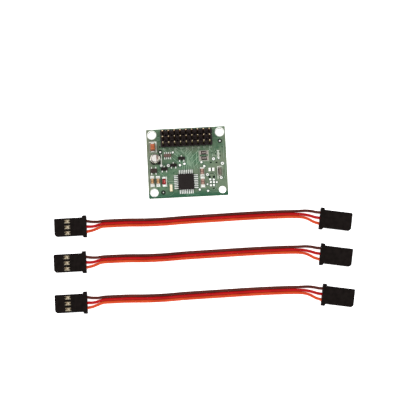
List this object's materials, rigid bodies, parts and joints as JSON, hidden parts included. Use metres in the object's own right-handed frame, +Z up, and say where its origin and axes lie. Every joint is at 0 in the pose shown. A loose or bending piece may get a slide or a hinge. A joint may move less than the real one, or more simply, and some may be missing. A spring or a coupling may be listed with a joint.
{
  "type": "servo driver board",
  "caption": "Small circuit board that drives hobby servos from a three-row pin header, with loose three-wire servo patch leads.",
  "frame": {"origin": "under the centre of the circuit board, at the height of the header's solder tail tips, which stand on z = 0", "axes": "+X along the board's longer side, +Y towards the edge with the pin header, +Z up out of the board's component side"},
  "size_m": [0.1324, 0.0825, 0.0113],
  "materials": {
    "solder_mask_board": "satin green solder mask on glass-epoxy board, paler over copper",
    "header_plastic": "satin moulded black nylon",
    "gold_plate": "satin gold flash",
    "chip_epoxy": "matt moulded epoxy",
    "brown_epoxy": "matt brown-grey moulded epoxy",
    "black_plastic": "satin moulded plastic",
    "can_aluminium": "bright drawn aluminium",
    "tantalum_orange": "satin moulded orange resin",
    "ceramic_tan": "matt fired ceramic",
    "led_red": "clear red lens",
    "resonator_cream": "satin cream ceramic",
    "solder_tin": "bright tin solder",
    "silkscreen_white": "matt printed white ink",
    "plug_plastic": "satin moulded black plastic",
    "wire_brown": "satin dark brown insulation",
    "wire_red": "satin red insulation",
    "wire_orange": "satin orange insulation"
  },
  "bodies": {
    "board": {"circuit_board": "solder_mask_board", "microcontroller": "chip_epoxy", "capacitor_base": "black_plastic", "capacitor_can": "can_aluminium", "tantalum_capacitor": "tantalum_orange", "interface_chip": "brown_epoxy", "transistor_1": "chip_epoxy", "transistor_2": "chip_epoxy", "transistor_3": "chip_epoxy", "voltage_regulator": "brown_epoxy", "ceramic_capacitor_1": "ceramic_tan", "ceramic_capacitor_2": "ceramic_tan", "ceramic_capacitor_3": "ceramic_tan", "ceramic_capacitor_4": "ceramic_tan", "status_led": "led_red", "ceramic_resonator": "resonator_cream", "chip_resistor_1": "chip_epoxy", "chip_resistor_2": "chip_epoxy", "protection_diode": "brown_epoxy", "ground_header_strip": "header_plastic", "ground_header_pins": "gold_plate", "power_header_strip": "header_plastic", "power_header_pins": "gold_plate", "signal_header_strip": "header_plastic", "signal_header_pins": "gold_plate"},
    "lead_1": {"lead_1_left_plug": "plug_plastic", "lead_1_left_ground_contact": "gold_plate", "lead_1_left_power_contact": "gold_plate", "lead_1_left_signal_contact": "gold_plate", "lead_1_right_plug": "plug_plastic", "lead_1_right_ground_contact": "gold_plate", "lead_1_right_power_contact": "gold_plate", "lead_1_right_signal_contact": "gold_plate", "lead_1_ground_wire": "wire_brown", "lead_1_power_wire": "wire_red", "lead_1_signal_wire": "wire_orange"},
    "lead_2": {"lead_2_left_plug": "plug_plastic", "lead_2_left_ground_contact": "gold_plate", "lead_2_left_power_contact": "gold_plate", "lead_2_left_signal_contact": "gold_plate", "lead_2_right_plug": "plug_plastic", "lead_2_right_ground_contact": "gold_plate", "lead_2_right_power_contact": "gold_plate", "lead_2_right_signal_contact": "gold_plate", "lead_2_ground_wire": "wire_brown", "lead_2_power_wire": "wire_red", "lead_2_signal_wire": "wire_orange"},
    "lead_3": {"lead_3_left_plug": "plug_plastic", "lead_3_left_ground_contact": "gold_plate", "lead_3_left_power_contact": "gold_plate", "lead_3_left_signal_contact": "gold_plate", "lead_3_right_plug": "plug_plastic", "lead_3_right_ground_contact": "gold_plate", "lead_3_right_power_contact": "gold_plate", "lead_3_right_signal_contact": "gold_plate", "lead_3_ground_wire": "wire_brown", "lead_3_power_wire": "wire_red", "lead_3_signal_wire": "wire_orange"}
  },
  "joints": [
    {"name": "lead_1_lift", "type": "slide", "parent": "board", "child": "lead_1", "axis": [0, 0, 1], "range_m": [0, 0.03]},
    {"name": "lead_2_lift", "type": "slide", "parent": "board", "child": "lead_2", "axis": [0, 0, 1], "range_m": [0, 0.03]},
    {"name": "lead_3_lift", "type": "slide", "parent": "board", "child": "lead_3", "axis": [0, 0, 1], "range_m": [0, 0.03]}
  ]
}
